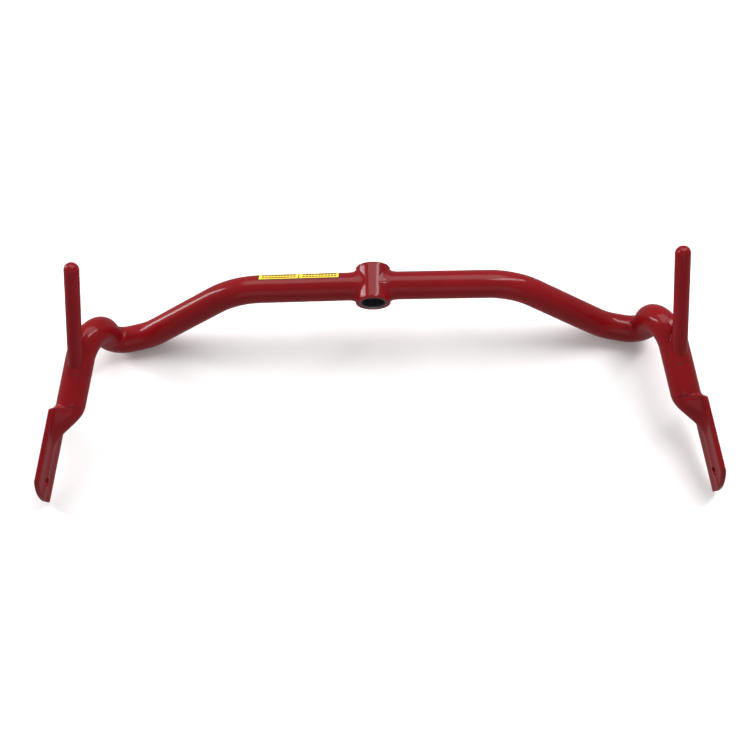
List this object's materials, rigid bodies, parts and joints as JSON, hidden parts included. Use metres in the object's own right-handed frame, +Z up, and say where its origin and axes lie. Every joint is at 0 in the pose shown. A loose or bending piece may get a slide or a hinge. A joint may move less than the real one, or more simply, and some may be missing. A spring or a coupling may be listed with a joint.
{
  "type": "sway bar",
  "caption": "Bent tube anti-roll bar with a lined pivot sleeve across its middle, flattened drilled arm ends and a round post on each arm.",
  "frame": {"origin": "centre of the pivot bore", "axes": "+X along the bar to its right, +Y to the rear along the pivot bore (the arms run towards -Y), +Z up, the side that the posts lean to"},
  "size_m": [0.7666, 0.2502, 0.1772],
  "materials": {
    "red_paint": "glossy deep red powder coat",
    "black_liner": "matte black",
    "yellow_film": "glossy yellow film with a black border"
  },
  "bodies": {
    "root": {"left_bar_tube": "red_paint", "right_bar_tube": "red_paint", "pivot_sleeve": "red_paint", "left_hub_weld": "red_paint", "right_hub_weld": "red_paint", "front_bushing": "black_liner", "rear_bushing": "black_liner", "left_post": "red_paint", "right_post": "red_paint", "left_post_weld": "red_paint", "right_post_weld": "red_paint", "label": "yellow_film"}
  },
  "joints": []
}
